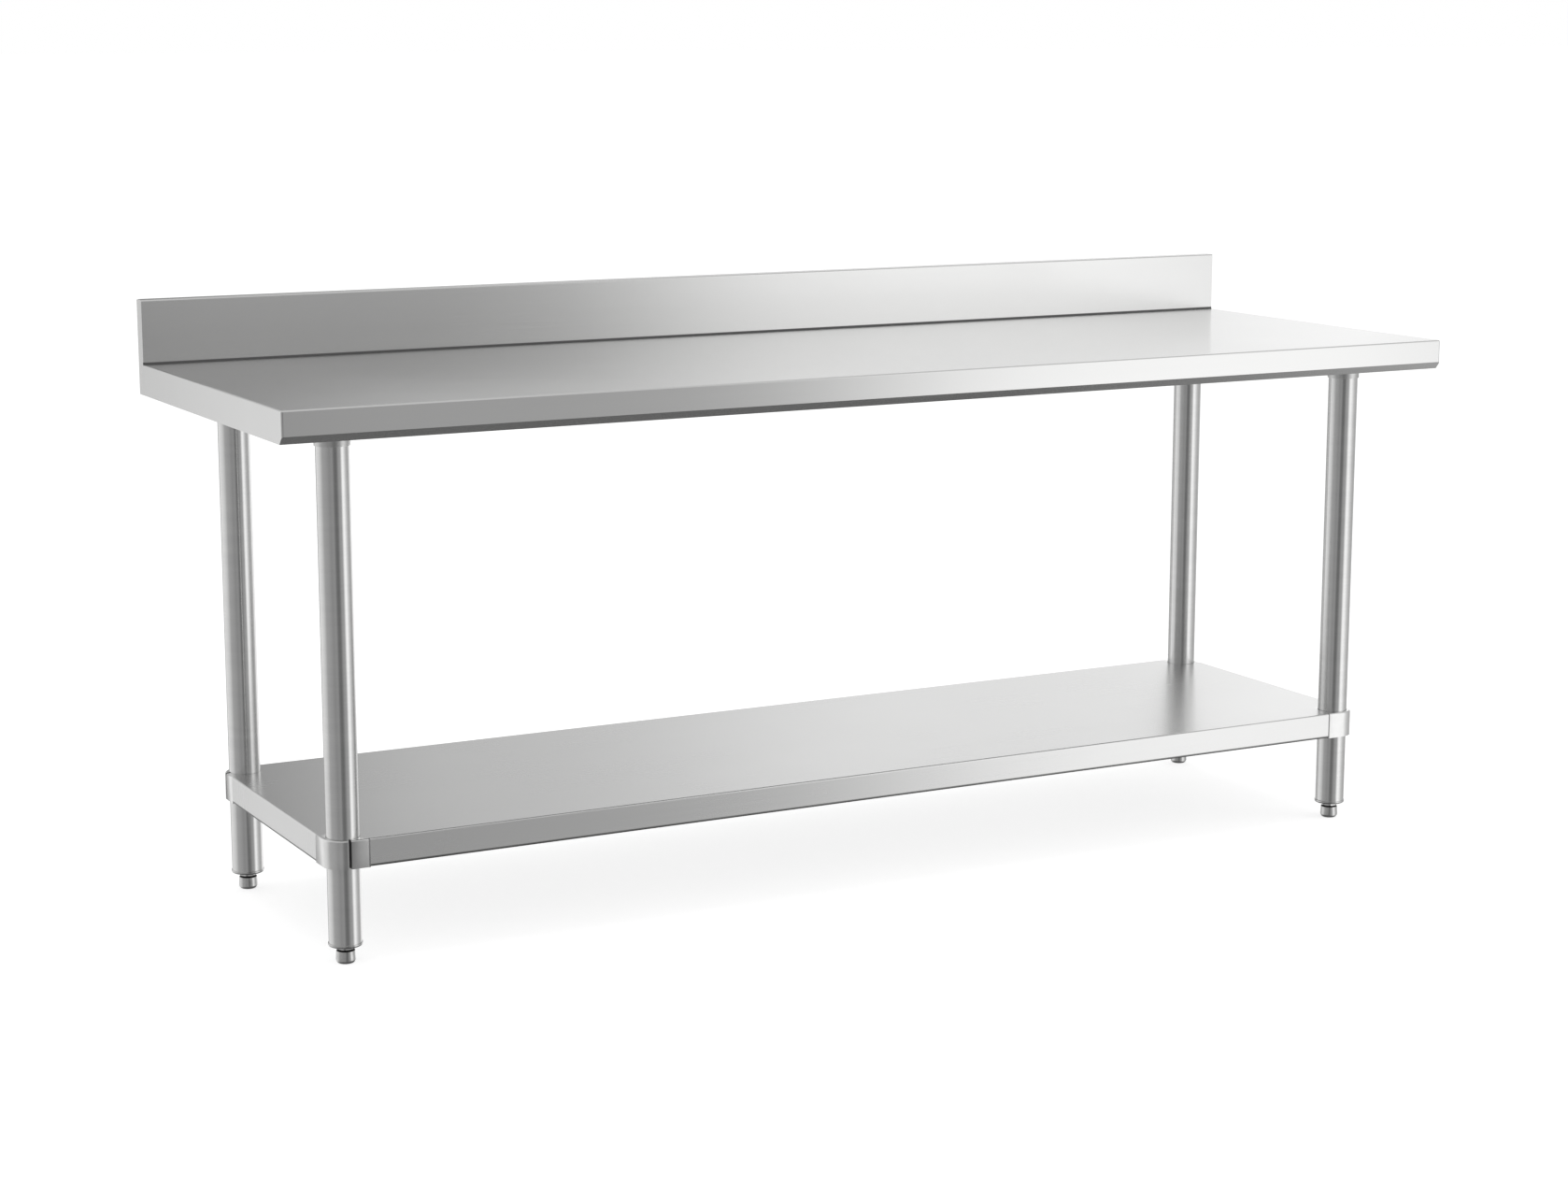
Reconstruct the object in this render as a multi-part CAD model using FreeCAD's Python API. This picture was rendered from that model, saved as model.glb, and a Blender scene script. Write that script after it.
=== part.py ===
import FreeCAD, Part
import math
import os

# Stainless work table with a rear splash, four tube legs and an undershelf that slides on the legs.
# Millimetres. The origin is on the floor under the middle of the table. +X runs along the length
# to the right, -Y is the front where the cook stands, +Y is the wall side and +Z is up.

Vec = FreeCAD.Vector

# Overall sizes
table_length = 2100.0
table_depth = 700.0
work_height = 864.0

# Worktop sheet
sheet = 1.2               # worktop, splash and undershelf sheet
bend_radius = 2.0         # inside radius of the sheet folds
face_height = 38.0        # upright front face
bevel_drop = 12.0         # height of the bevel under the front face
bevel_run = 10.0          # how far the bevel returns under the top
splash_height = 104.0
splash_depth = 25.0
cove_radius = 4.0         # worktop to splash
rear_return = 15.0        # fold along the bottom of the rear sheet

# Legs and their sockets
leg_diameter = 50.8
leg_wall = 1.5
leg_inset = 117.0         # leg axis from the table's ends, front and rear
socket_wall = 1.5
socket_clearance = 0.3
socket_length = 41.0
socket_plate = 90.0
socket_plate_thickness = 3.0
socket_plate_corner = 8.0

# Hat channels under the top and the shelf
channel_wall = 1.5
channel_height = 25.0
channel_crown = 60.0
channel_flange = 20.0
channel_bend = 2.0
channel_spread = 130.0    # long channels from the middle of the table
channel_gap = 2.0         # between a long channel's end and a cross channel
cross_overhang = 15.0     # cross channel past the socket plate

# Weld studs and nuts that hold the channels
stud_diameter = 6.0
stud_length = 14.0
stud_hole = 7.0
stud_pitch = 400.0
stud_end_margin = 40.0
nut_flats = 10.0
nut_height = 5.0
nut_clearance = 0.1

# Set screws
screw_diameter = 8.0
screw_length = 13.0
screw_key = 4.0
screw_key_depth = 5.0
screw_tip_gap = 0.3
screw_clearance = 0.1
boss_diameter = 15.0
boss_length = 7.0

# Feet
foot_height = 28.0        # floor to the underside of the insert
insert_rim = 5.0
insert_rim_proud = 1.0
insert_depth = 35.0
insert_clearance = 0.1
insert_round = 2.8        # under the rim
insert_top_round = 0.5
thread_diameter = 16.0
thread_clearance = 0.3
stem_length = 52.0
foot_hex_height = 7.0
foot_hex_flats = 24.0
foot_shoulder_radius = 14.0
foot_body_radius = 15.2
foot_shoulder_round = 1.5
foot_sole_round = 6.0

# Undershelf and its corner collars
shelf_top = 198.0
shelf_drop = 44.0
shelf_return = 10.0
collar_radius = 32.0      # outer corner, centred on the leg
collar_clearance = 0.5    # collar bore to leg
collar_wall = 3.6
collar_wing = 23.0        # how far the top plate reaches inboard of the leg axis
collar_wing_tail = 9.0    # how far the outer walls of the wings go on past the plate
collar_wing_wall = 3.0
collar_top_plate = 2.0
collar_extra_drop = 0.5   # collar below the shelf's folded edge
collar_slot = 4.5         # in line with the leg axis
shelf_channel_end_gap = 60.0
shelf_hole_clearance = 1.0

# Places worked out from the sizes
leg_radius = leg_diameter / 2
leg_x = table_length / 2 - leg_inset
leg_y = table_depth / 2 - leg_inset
front_y = -table_depth / 2
rear_y = table_depth / 2
riser_y = rear_y - splash_depth
edge_bottom = work_height - face_height - bevel_drop
top_underside = work_height - sheet
channel_bottom = top_underside - channel_height
plate_bottom = channel_bottom - socket_plate_thickness
socket_rim = plate_bottom - socket_length
tube_bottom = foot_height + insert_rim
shelf_underside = shelf_top - sheet
shelf_bottom = shelf_top - shelf_drop
collar_bottom = shelf_bottom - collar_extra_drop
shelf_x = leg_x + collar_radius
shelf_y = leg_y + collar_radius
channel_width = channel_crown + 2 * channel_flange
cross_half = leg_y + socket_plate / 2 + cross_overhang
long_half = leg_x - channel_width / 2 - channel_gap
shelf_channel_half = leg_x - collar_radius - shelf_channel_end_gap

# Corner name, x side, y side and how many quarter turns from the front left corner
corners = [
    ("front_left", -1, -1, 0),
    ("front_right", 1, -1, 1),
    ("rear_right", 1, 1, 2),
    ("rear_left", -1, 1, 3),
]


def block(x0, x1, y0, y1, z0, z1):
    return Part.makeBox(x1 - x0, y1 - y0, z1 - z0, Vec(x0, y0, z0))


def cylinder(radius, z0, z1, x=0.0, y=0.0):
    return Part.makeCylinder(radius, z1 - z0, Vec(x, y, z0))


def ring(inner, outer, z0, z1):
    return cylinder(outer, z0, z1).cut(cylinder(inner, z0, z1))


def fuse_all(solids):
    joined = solids[0].multiFuse(solids[1:])
    return joined.removeSplitter()


def fillet_where(shape, radius, wanted):
    """Round the straight edges whose two ends both pass the test."""
    edges = []
    for edge in shape.Edges:
        ends = [vertex.Point for vertex in edge.Vertexes]
        if len(ends) == 2 and wanted(ends[0], ends[1]):
            edges.append(edge)
    return shape.makeFillet(radius, edges)


def close_to(value, target):
    return abs(value - target) < 1e-6


def along_x(points, x0, x1):
    """Prism along X from (y, z) points."""
    corners_yz = [Vec(x0, y, z) for y, z in points]
    outline = Part.makePolygon(corners_yz + corners_yz[:1])
    return Part.Face(outline).extrude(Vec(x1 - x0, 0, 0))


def rounded_path(points, radii):
    """Edges of an open path of 2-D points, with an arc of the given radius at each inner point."""
    edges = []
    start = points[0]
    for index in range(1, len(points) - 1):
        corner = points[index]
        back = (points[index - 1] - corner).normalize()
        ahead = (points[index + 1] - corner).normalize()
        half_angle = back.getAngle(ahead) / 2
        reach = radii[index - 1] / math.tan(half_angle)
        first = corner + back * reach
        last = corner + ahead * reach
        inward = (back + ahead).normalize()
        middle = corner + inward * (radii[index - 1] / math.sin(half_angle) - radii[index - 1])
        if (first - start).Length > 1e-6:
            edges.append(Part.makeLine(start, first))
        edges.append(Part.Arc(first, middle, last).toShape())
        start = last
    edges.append(Part.makeLine(start, points[-1]))
    return edges


def folded_strip(points, wall, radii):
    """Face of a folded strip. The points follow one side, and the wall lies to their right."""
    near = [Vec(a, b, 0) for a, b in points]
    directions = [(near[i + 1] - near[i]).normalize() for i in range(len(near) - 1)]
    rights = [Vec(d.y, -d.x, 0) for d in directions]
    far = [near[0] + rights[0] * wall]
    near_radii = []
    far_radii = []
    for index in range(1, len(near) - 1):
        before = rights[index - 1]
        after = rights[index]
        far.append(near[index] + (before + after) * (wall / (1 + before.dot(after))))
        turns_right = directions[index - 1].cross(directions[index]).z < 0
        near_radii.append(radii[index - 1] + (wall if turns_right else 0))
        far_radii.append(radii[index - 1] + (0 if turns_right else wall))
    far.append(near[-1] + rights[-1] * wall)
    outline = rounded_path(near, near_radii)
    outline.append(Part.makeLine(near[-1], far[-1]))
    outline += rounded_path(far, far_radii)
    outline.append(Part.makeLine(far[0], near[0]))
    return Part.Face(Part.Wire(Part.__sortEdges__(outline)))


def strip_along_x(points, wall, radii, x0, x1):
    """Folded strip of (y, z) points, drawn out along X."""
    face = folded_strip(points, wall, radii)
    turned = face.transformed(FreeCAD.Matrix(0, 0, 1, x0, 1, 0, 0, 0, 0, 1, 0, 0, 0, 0, 0, 1))
    return turned.extrude(Vec(x1 - x0, 0, 0))


def hexagon(flats, z0, z1, x=0.0, y=0.0):
    radius = flats / math.sqrt(3)
    points = [Vec(x + radius * math.cos(math.radians(60 * i)),
                  y + radius * math.sin(math.radians(60 * i)), z0) for i in range(6)]
    return Part.Face(Part.makePolygon(points + points[:1])).extrude(Vec(0, 0, z1 - z0))


def evenly_spaced(half_length):
    """Places from -half_length to +half_length, no more than the stud pitch apart."""
    count = max(2, math.ceil(2 * half_length / stud_pitch) + 1)
    return [-half_length + 2 * half_length * i / (count - 1) for i in range(count)]


def bevel_waste(wall, bottom):
    """What lies in front of and under the front bevel, for a surface set in by the wall."""
    slope = math.hypot(bevel_run, bevel_drop)
    face = front_y + wall
    start_z = edge_bottom + bevel_drop + wall * (slope - bevel_drop) / bevel_run
    end_y = face + (start_z - bottom) * bevel_run / bevel_drop
    outside = front_y - bevel_run
    points = [(outside, start_z), (face, start_z), (end_y, bottom), (outside, bottom)]
    return along_x(points, -table_length, table_length)


def worktop():
    half = table_length / 2
    rim = bend_radius + sheet
    below = edge_bottom - bevel_drop

    def outer_edges(a, b):
        top_edge = close_to(a.z, work_height) and close_to(b.z, work_height)
        at_rear = close_to(a.y, riser_y) and close_to(b.y, riser_y)
        upright = close_to(a.y, front_y) and close_to(b.y, front_y) and close_to(a.x, b.x)
        return (top_edge and not at_rear) or upright

    def inner_edges(a, b):
        top_edge = close_to(a.z, top_underside) and close_to(b.z, top_underside)
        at_rear = close_to(a.y, rear_y) and close_to(b.y, rear_y)
        at_front = close_to(a.y, front_y + sheet) and close_to(b.y, front_y + sheet)
        return (top_edge and not at_rear) or (at_front and close_to(a.x, b.x))

    outer = block(-half, half, front_y, riser_y, edge_bottom, work_height)
    outer = fillet_where(outer, rim, outer_edges).cut(bevel_waste(0.0, edge_bottom - 1))
    inner = block(-half + sheet, half - sheet, front_y + sheet, rear_y, below, top_underside)
    inner = fillet_where(inner, bend_radius, inner_edges).cut(bevel_waste(sheet, below - 1))
    pan = outer.cut(inner)

    splash_top = work_height + splash_height
    points = [
        (riser_y - cove_radius - sheet / 2, work_height),
        (riser_y, work_height),
        (riser_y, splash_top),
        (rear_y, splash_top),
        (rear_y, edge_bottom),
        (rear_y - rear_return, edge_bottom),
    ]
    radii = [cove_radius, bend_radius, bend_radius, bend_radius]
    splash = strip_along_x(points, sheet, radii, -half + sheet, half - sheet)
    return fuse_all([pan, splash])


def splash_cap(side):
    """Plate that closes one end of the splash, flush with the worktop's end."""
    outside = side * table_length / 2
    inside = outside - side * sheet
    splash_top = work_height + splash_height
    plate = block(min(inside, outside), max(inside, outside), riser_y, rear_y, edge_bottom, splash_top)

    def top_corners(a, b):
        return close_to(a.z, splash_top) and close_to(b.z, splash_top) and close_to(a.y, b.y)

    return fillet_where(plate, bend_radius + sheet, top_corners)


def hat_channel(half_length, top):
    """Channel along X with its flanges against the face at the given height, crown down."""
    side = channel_crown / 2 - channel_wall
    edge = channel_width / 2
    floor = top - channel_height + channel_wall
    points = [(-edge, top), (-side, top), (-side, floor), (side, floor), (side, top), (edge, top)]
    return strip_along_x(points, channel_wall, [channel_bend] * 4, -half_length, half_length)


def stud_places(half_length):
    """Stud centres on both flanges of a channel along X."""
    offset = (channel_crown + channel_flange) / 2
    return [(x, side * offset) for x in evenly_spaced(half_length - stud_end_margin) for side in (-1, 1)]


def drilled_channel(half_length):
    channel = hat_channel(half_length, top_underside)
    holes = [cylinder(stud_hole / 2, channel_bottom, work_height, x, y)
             for x, y in stud_places(half_length)]
    return channel.cut(Part.makeCompound(holes))


def long_channel_place(shape, side):
    """Move a shape made on the middle line to the front or rear long channel."""
    moved = shape.copy()
    moved.translate(Vec(0, side * channel_spread, 0))
    return moved


def cross_channel_place(shape, side):
    """Turn a shape made along X to lie along Y over the left or right pair of legs."""
    moved = shape.copy()
    moved.rotate(Vec(0, 0, 0), Vec(0, 0, 1), 90)
    moved.translate(Vec(side * leg_x, 0, 0))
    return moved


def on_every_stud(shape_at):
    """Solids made by shape_at(x, y) at each stud of the four channels under the top."""
    solids = []
    for side in (-1, 1):
        for x, y in stud_places(long_half):
            solids.append(long_channel_place(shape_at(x, y), side))
        for x, y in stud_places(cross_half):
            solids.append(cross_channel_place(shape_at(x, y), side))
    return Part.makeCompound(solids)


def stud(x, y):
    return cylinder(stud_diameter / 2, top_underside - stud_length, top_underside, x, y)


def nut(x, y):
    seat = top_underside - channel_wall
    body = hexagon(nut_flats, seat - nut_height, seat, x, y)
    bore = cylinder(stud_diameter / 2 + nut_clearance, seat - nut_height, seat, x, y)
    return body.cut(bore)


def radial(radius, start, end, height):
    """Cylinder that points away from the Z axis along +X."""
    return Part.makeCylinder(radius, end - start, Vec(start, 0, height), Vec(1, 0, 0))


def set_screw(height):
    """Screw along +X whose tip stands just off the leg."""
    tip = leg_radius + screw_tip_gap
    body = radial(screw_diameter / 2, tip, tip + screw_length, height)
    key = hexagon(screw_key, tip + screw_length - screw_key_depth, tip + screw_length)
    key.rotate(Vec(0, 0, 0), Vec(0, 1, 0), 90)
    key.translate(Vec(0, 0, height))
    return body.cut(key)


def screw_boss(sleeve_radius, height):
    """Boss along +X for a set screw, from the axis so that it joins any upright sleeve."""
    return radial(boss_diameter / 2, 0, sleeve_radius + boss_length, height)


def screw_hole(sleeve_radius, height):
    return radial(screw_diameter / 2 + screw_clearance, 0, sleeve_radius + boss_length + 1, height)


def turned(shape, angle):
    moved = shape.copy()
    moved.rotate(Vec(0, 0, 0), Vec(0, 0, 1), angle)
    return moved


def at_leg(shape, x_side, y_side):
    moved = shape.copy()
    moved.translate(Vec(x_side * leg_x, y_side * leg_y, 0))
    return moved


def inward_angle(x_side):
    """Direction from a leg towards the middle of the table's length."""
    return 90 + 90 * x_side


def socket_screw_height():
    return (socket_rim + plate_bottom) / 2


def leg_socket():
    """Plate under the cross channel with the short sleeve that takes the leg, boss along +X."""
    bore_radius = leg_radius + socket_clearance
    outer_radius = bore_radius + socket_wall
    half = socket_plate / 2
    plate = block(-half, half, -half, half, plate_bottom, channel_bottom)

    def plate_corners(a, b):
        return close_to(a.x, b.x) and close_to(a.y, b.y)

    plate = fillet_where(plate, socket_plate_corner, plate_corners)
    height = socket_screw_height()
    sleeve = fuse_all([cylinder(outer_radius, socket_rim, plate_bottom), screw_boss(outer_radius, height)])
    sleeve = sleeve.cut(cylinder(bore_radius, socket_rim, plate_bottom))
    return fuse_all([plate, sleeve.cut(screw_hole(outer_radius, height))])


def leg():
    return ring(leg_radius - leg_wall, leg_radius, tube_bottom, plate_bottom)


def foot_insert():
    """Rimmed plug in the leg's lower end, threaded for the foot."""
    rim = cylinder(leg_radius + insert_rim_proud, foot_height, tube_bottom)
    for radius, height in ((insert_round, foot_height), (insert_top_round, tube_bottom)):
        rim = rim.makeFillet(radius, [
            edge for edge in rim.Edges
            if len(edge.Vertexes) == 1 and close_to(edge.Vertexes[0].Z, height)])
    plug = cylinder(leg_radius - leg_wall - insert_clearance, tube_bottom, tube_bottom + insert_depth)
    bore = cylinder(thread_diameter / 2 + thread_clearance, foot_height, tube_bottom + insert_depth)
    return fuse_all([rim, plug]).cut(bore)


def foot():
    """Bullet foot, turned fully in so that its hexagon meets the insert."""
    shoulder = foot_height - foot_hex_height
    round_centre = foot_body_radius - foot_sole_round
    diagonal = foot_sole_round * math.sqrt(0.5)
    sole_edge = Vec(round_centre, 0, 0)
    round_middle = Vec(round_centre + diagonal, 0, foot_sole_round - diagonal)
    round_top = Vec(foot_body_radius, 0, foot_sole_round)
    shoulder_edge = Vec(foot_shoulder_radius, 0, shoulder)
    outline = [
        Part.makeLine(Vec(0, 0, 0), sole_edge),
        Part.Arc(sole_edge, round_middle, round_top).toShape(),
        Part.makeLine(round_top, shoulder_edge),
        Part.makeLine(shoulder_edge, Vec(0, 0, shoulder)),
        Part.makeLine(Vec(0, 0, shoulder), Vec(0, 0, 0)),
    ]
    body = Part.Face(Part.Wire(outline)).revolve(Vec(0, 0, 0), Vec(0, 0, 1), 360)
    body = body.makeFillet(foot_shoulder_round, [
        edge for edge in body.Edges
        if len(edge.Vertexes) == 1 and close_to(edge.Vertexes[0].Z, shoulder)])
    hexagonal = hexagon(foot_hex_flats, shoulder, foot_height)
    stem = cylinder(thread_diameter / 2, shoulder, foot_height + stem_length)
    return fuse_all([body, hexagonal, stem])


def undershelf():
    rim = bend_radius + sheet

    def fold_edges(top, bottom):
        return lambda a, b: close_to(a.z, b.z) and (close_to(a.z, top) or close_to(a.z, bottom))

    outer = block(-shelf_x, shelf_x, -shelf_y, shelf_y, shelf_bottom, shelf_top)
    outer = fillet_where(outer, rim, fold_edges(shelf_top, shelf_bottom))
    x = shelf_x - sheet
    y = shelf_y - sheet
    inner = block(-x, x, -y, y, shelf_bottom + sheet, shelf_underside)
    inner = fillet_where(inner, bend_radius, fold_edges(shelf_underside, shelf_bottom + sheet))
    x = shelf_x - shelf_return
    y = shelf_y - shelf_return
    opening = block(-x, x, -y, y, shelf_bottom - sheet, shelf_underside - rim)
    shelf = outer.cut(inner).cut(opening)
    for _, x_side, y_side, _ in corners:
        seam_x = x_side * (leg_x - collar_wing)
        seam_y = y_side * (leg_y - collar_wing)
        end_x = x_side * table_length
        end_y = y_side * table_depth
        notch = block(min(seam_x, end_x), max(seam_x, end_x), min(seam_y, end_y), max(seam_y, end_y),
                      shelf_bottom - sheet, shelf_top + sheet)
        hole = cylinder(leg_radius + shelf_hole_clearance, shelf_bottom, shelf_top)
        shelf = shelf.cut(notch).cut(at_leg(hole, x_side, y_side))
        tail_x = x_side * (leg_x - collar_wing - collar_wing_tail)
        tail_y = y_side * (leg_y - collar_wing - collar_wing_tail)
        wall_x = x_side * (shelf_x - collar_wing_wall)
        wall_y = y_side * (shelf_y - collar_wing_wall)
        front = block(min(tail_x, end_x), max(tail_x, end_x), min(wall_y, end_y), max(wall_y, end_y),
                      shelf_bottom - sheet, shelf_top + sheet)
        side = block(min(wall_x, end_x), max(wall_x, end_x), min(tail_y, end_y), max(tail_y, end_y),
                     shelf_bottom - sheet, shelf_top + sheet)
        shelf = shelf.cut(front).cut(side)
    return shelf


def collar_screw_height():
    return (collar_bottom + shelf_underside) / 2


def collar():
    """Cast corner of the front left leg, with the leg axis on Z. The others are it, turned."""
    bore_radius = leg_radius + collar_clearance
    sleeve_radius = bore_radius + collar_wall
    wing = collar_wing
    tail = wing + collar_wing_tail
    out = -collar_radius
    inside = out + collar_wing_wall
    quadrant = cylinder(collar_radius, collar_bottom, shelf_top)
    quadrant = quadrant.common(block(out, 0, out, 0, collar_bottom, shelf_top))
    body = fuse_all([
        quadrant,
        block(0, wing, out, wing, collar_bottom, shelf_top),
        block(out, wing, 0, wing, collar_bottom, shelf_top),
        block(0, tail, out, inside, collar_bottom, shelf_top),
        block(out, inside, 0, tail, collar_bottom, shelf_top),
    ])

    def outer_top(a, b):
        straight = close_to(a.x, out) and close_to(b.x, out) or close_to(a.y, out) and close_to(b.y, out)
        arc = close_to(math.hypot(a.x, a.y), -out) and close_to(math.hypot(b.x, b.y), -out)
        return close_to(a.z, shelf_top) and close_to(b.z, shelf_top) and (straight or arc)

    body = fillet_where(body, bend_radius + sheet, outer_top)
    plate_underside = shelf_top - collar_top_plate
    hollow = fuse_all([
        block(0, wing + 1, inside, wing + 1, collar_bottom, plate_underside),
        block(inside, wing + 1, 0, wing + 1, collar_bottom, plate_underside),
    ]).cut(cylinder(sleeve_radius, collar_bottom, plate_underside))
    height = collar_screw_height()
    sleeve = cylinder(sleeve_radius, collar_bottom, shelf_underside)
    boss = turned(screw_boss(sleeve_radius, height), 45)
    body = fuse_all([body.cut(hollow), sleeve, boss])
    slot = block(-collar_slot / 2, collar_slot / 2, out - 1, 0, collar_bottom, shelf_top)
    body = body.cut(cylinder(bore_radius, collar_bottom, shelf_top)).cut(slot)
    return body.cut(turned(screw_hole(sleeve_radius, height), 45))


def write(name, shape):
    shape.exportStep("parts/" + name + ".step")


def write_parts():
    os.makedirs("parts", exist_ok=True)

    write("worktop", worktop())
    write("splash_cap_left", splash_cap(-1))
    write("splash_cap_right", splash_cap(1))

    for name, side in (("front", -1), ("rear", 1)):
        write("long_channel_" + name, long_channel_place(drilled_channel(long_half), side))
    for name, side in (("left", -1), ("right", 1)):
        write("cross_channel_" + name, cross_channel_place(drilled_channel(cross_half), side))
    write("channel_studs", on_every_stud(stud))
    write("channel_nuts", on_every_stud(nut))

    write("undershelf", undershelf())
    write("shelf_channel", hat_channel(shelf_channel_half, shelf_underside))

    socket_screws = []
    collar_screws = []
    for name, x_side, y_side, quarter_turns in corners:
        facing = inward_angle(x_side)
        write("leg_socket_" + name, at_leg(turned(leg_socket(), facing), x_side, y_side))
        write("leg_" + name, at_leg(leg(), x_side, y_side))
        write("foot_insert_" + name, at_leg(foot_insert(), x_side, y_side))
        write("foot_" + name, at_leg(foot(), x_side, y_side))
        write("shelf_collar_" + name, at_leg(turned(collar(), 90 * quarter_turns), x_side, y_side))
        socket_screw = turned(set_screw(socket_screw_height()), facing)
        socket_screws.append(at_leg(socket_screw, x_side, y_side))
        collar_screw = turned(set_screw(collar_screw_height()), 45 + 90 * quarter_turns)
        collar_screws.append(at_leg(collar_screw, x_side, y_side))
    write("socket_set_screws", Part.makeCompound(socket_screws))
    write("collar_set_screws", Part.makeCompound(collar_screws))


write_parts()
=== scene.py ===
import math
import bmesh
import bpy
from mathutils import Matrix, Vector


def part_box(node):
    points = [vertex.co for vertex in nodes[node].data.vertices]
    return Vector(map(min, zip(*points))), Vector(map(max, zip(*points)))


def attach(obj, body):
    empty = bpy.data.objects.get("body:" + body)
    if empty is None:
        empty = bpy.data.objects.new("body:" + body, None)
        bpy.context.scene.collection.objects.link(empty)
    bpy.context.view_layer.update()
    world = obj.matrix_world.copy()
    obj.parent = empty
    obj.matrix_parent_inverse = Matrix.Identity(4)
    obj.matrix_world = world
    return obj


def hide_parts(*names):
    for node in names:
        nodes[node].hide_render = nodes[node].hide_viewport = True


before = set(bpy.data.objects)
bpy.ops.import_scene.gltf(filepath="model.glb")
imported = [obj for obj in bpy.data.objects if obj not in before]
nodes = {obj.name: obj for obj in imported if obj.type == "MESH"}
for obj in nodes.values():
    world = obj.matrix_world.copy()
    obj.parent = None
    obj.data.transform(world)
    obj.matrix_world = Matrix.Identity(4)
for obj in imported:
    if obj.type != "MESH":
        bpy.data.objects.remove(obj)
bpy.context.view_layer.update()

# Looks of a stainless work table: brushed sheet, polished tube legs, cast collars, turned feet,
# galvanised channels and plated fasteners. Metres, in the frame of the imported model.

corners = ("front_left", "front_right", "rear_right", "rear_left")


# ---------------------------------------------------------------- sizes

sheet_thick = 0.0012
channel_sheet = 0.0015
splash_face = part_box("splash_cap_left")[0].y
work_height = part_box("channel_studs")[1].z + sheet_thick
shelf_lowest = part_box("undershelf")[0].z

# Bullet foot: radii, heights from its sole, and its thread
foot_body = 0.0152
foot_sole_round = 0.006
foot_shoulder = 0.0144
foot_shoulder_low = 0.0192
foot_shoulder_round = 0.0013
foot_neck = 0.0106
foot_neck_low = 0.0209
foot_hex_flats = 0.024
foot_hex_low = 0.0216
foot_hex_high = 0.028
foot_stem = 0.008
foot_stem_relief = 0.0012
foot_thread_deep = 0.0011
foot_pitch = 0.002
foot_edge = 0.0004

# Set screws, and the studs and nuts of the channels
screw_radius = 0.004
screw_long = 0.013
screw_pitch = 0.00125
screw_key_flats = 0.004
screw_key_deep = 0.005
screw_off_tube = 0.0003
small_thread_deep = 0.0006
stud_radius = 0.003
stud_long = 0.014
stud_pitch = 0.001
stud_thread_end = 0.0045
nut_flats = 0.010
nut_high = 0.005
nut_edge = 0.0006

# Rows of fasteners on the channels, with every distance from a channel's end or middle line
row_offset = 0.040
stud_margin = 0.040
stud_spacing = 0.400
spot_margin = 0.025
spot_spacing = 0.100
first_seed = 3

# Weld bead round a leg, below its socket's top
bead_radius = 0.0021
bead_gap = 0.0001
bead_below_top = 0.0034
bead_ripples = 44.0
bead_ripple_deep = 0.14

# Widths of the eased edges
eased_collar = 0.0004
eased_socket = 0.0011

# Where a finish gives way to a darker and rougher one, whose darker colour is painted shade: the
# limits at which that one starts and is full, then, where it ends again, those at which it is still
# full and ends. They count from the splash's face and the worktop for the fold between them, from
# the shelf's lowest edge for its bottom fold, from the floor for the hollows of a foot, and from
# the leg's axis and the wing's end for a collar.
fold_across = (-0.0048, -0.0030, 0.0010, 0.0030)
fold_up = (-0.0006, -0.0001, 0.0026, 0.0042)
bottom_fold_up = (0.0048, 0.0034)
sole_hollow = (0.0030, 0.0010)
neck_hollow = (0.0190, 0.0200, 0.0218, 0.0226)
rim_hollow = (0.0268, 0.0274, 0.0292, 0.0306)
cut_across = (0.00285, 0.00245)
cut_deep = (0.0240, 0.0250, 0.0302, 0.0314)
wing_end = (0.0030, 0.0018)
wing_outer_wall = (0.0275, 0.0285)
wing_long = 0.032

# Faces that meet at a greater angle than this, in degrees, keep a crisp edge
crisp_turn = 32.0


# ---------------------------------------------------------------- small helpers

def put_in_scene(name, data):
    thing = bpy.data.objects.new(name, data)
    bpy.context.scene.collection.objects.link(thing)
    return thing


def mesh_of(build, name):
    """Mesh from a bmesh, which is used up."""
    mesh = bpy.data.meshes.new(name)
    build.to_mesh(mesh)
    build.free()
    return mesh


def leg_axis(corner):
    """Where a leg's axis stands, and its tube's radius."""
    low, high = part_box("leg_" + corner)
    return (low.x + high.x) / 2, (low.y + high.y) / 2, (high.x - low.x) / 2


def middle_height(node):
    low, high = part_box(node)
    return (low.z + high.z) / 2


def grey(tone):
    return (tone, tone, tone, 1.0)


def add(tree, kind, inputs=None, **settings):
    """Add a node. An input given as a socket is linked, and any other value is set on it."""
    made = tree.nodes.new(kind)
    for name, value in settings.items():
        setattr(made, name, value)
    for name, value in (inputs or {}).items():
        if isinstance(value, bpy.types.NodeSocket):
            tree.links.new(value, made.inputs[name])
        else:
            made.inputs[name].default_value = value
    return made


def calc(tree, operation, *values):
    return add(tree, "ShaderNodeMath", dict(enumerate(values)), operation=operation).outputs[0]


def times(tree, first, second):
    return calc(tree, "MULTIPLY", first, second)


def fade(tree, value, start, end, low=0.0, high=1.0, step="SMOOTHSTEP"):
    """Smooth step from low to high as the value goes from start to end."""
    inputs = {"Value": value, "From Min": start, "From Max": end, "To Min": low, "To Max": high}
    return add(tree, "ShaderNodeMapRange", inputs, interpolation_type=step).outputs[0]


def within(tree, value, start, full, still_full, end):
    """One between two limits, fading in before the first and out after the second."""
    return times(tree, fade(tree, value, start, full), fade(tree, value, end, still_full))


def blend_value(tree, factor, first, second):
    inputs = {0: factor, 2: first, 3: second}
    return add(tree, "ShaderNodeMix", inputs, data_type="FLOAT").outputs[0]


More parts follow.
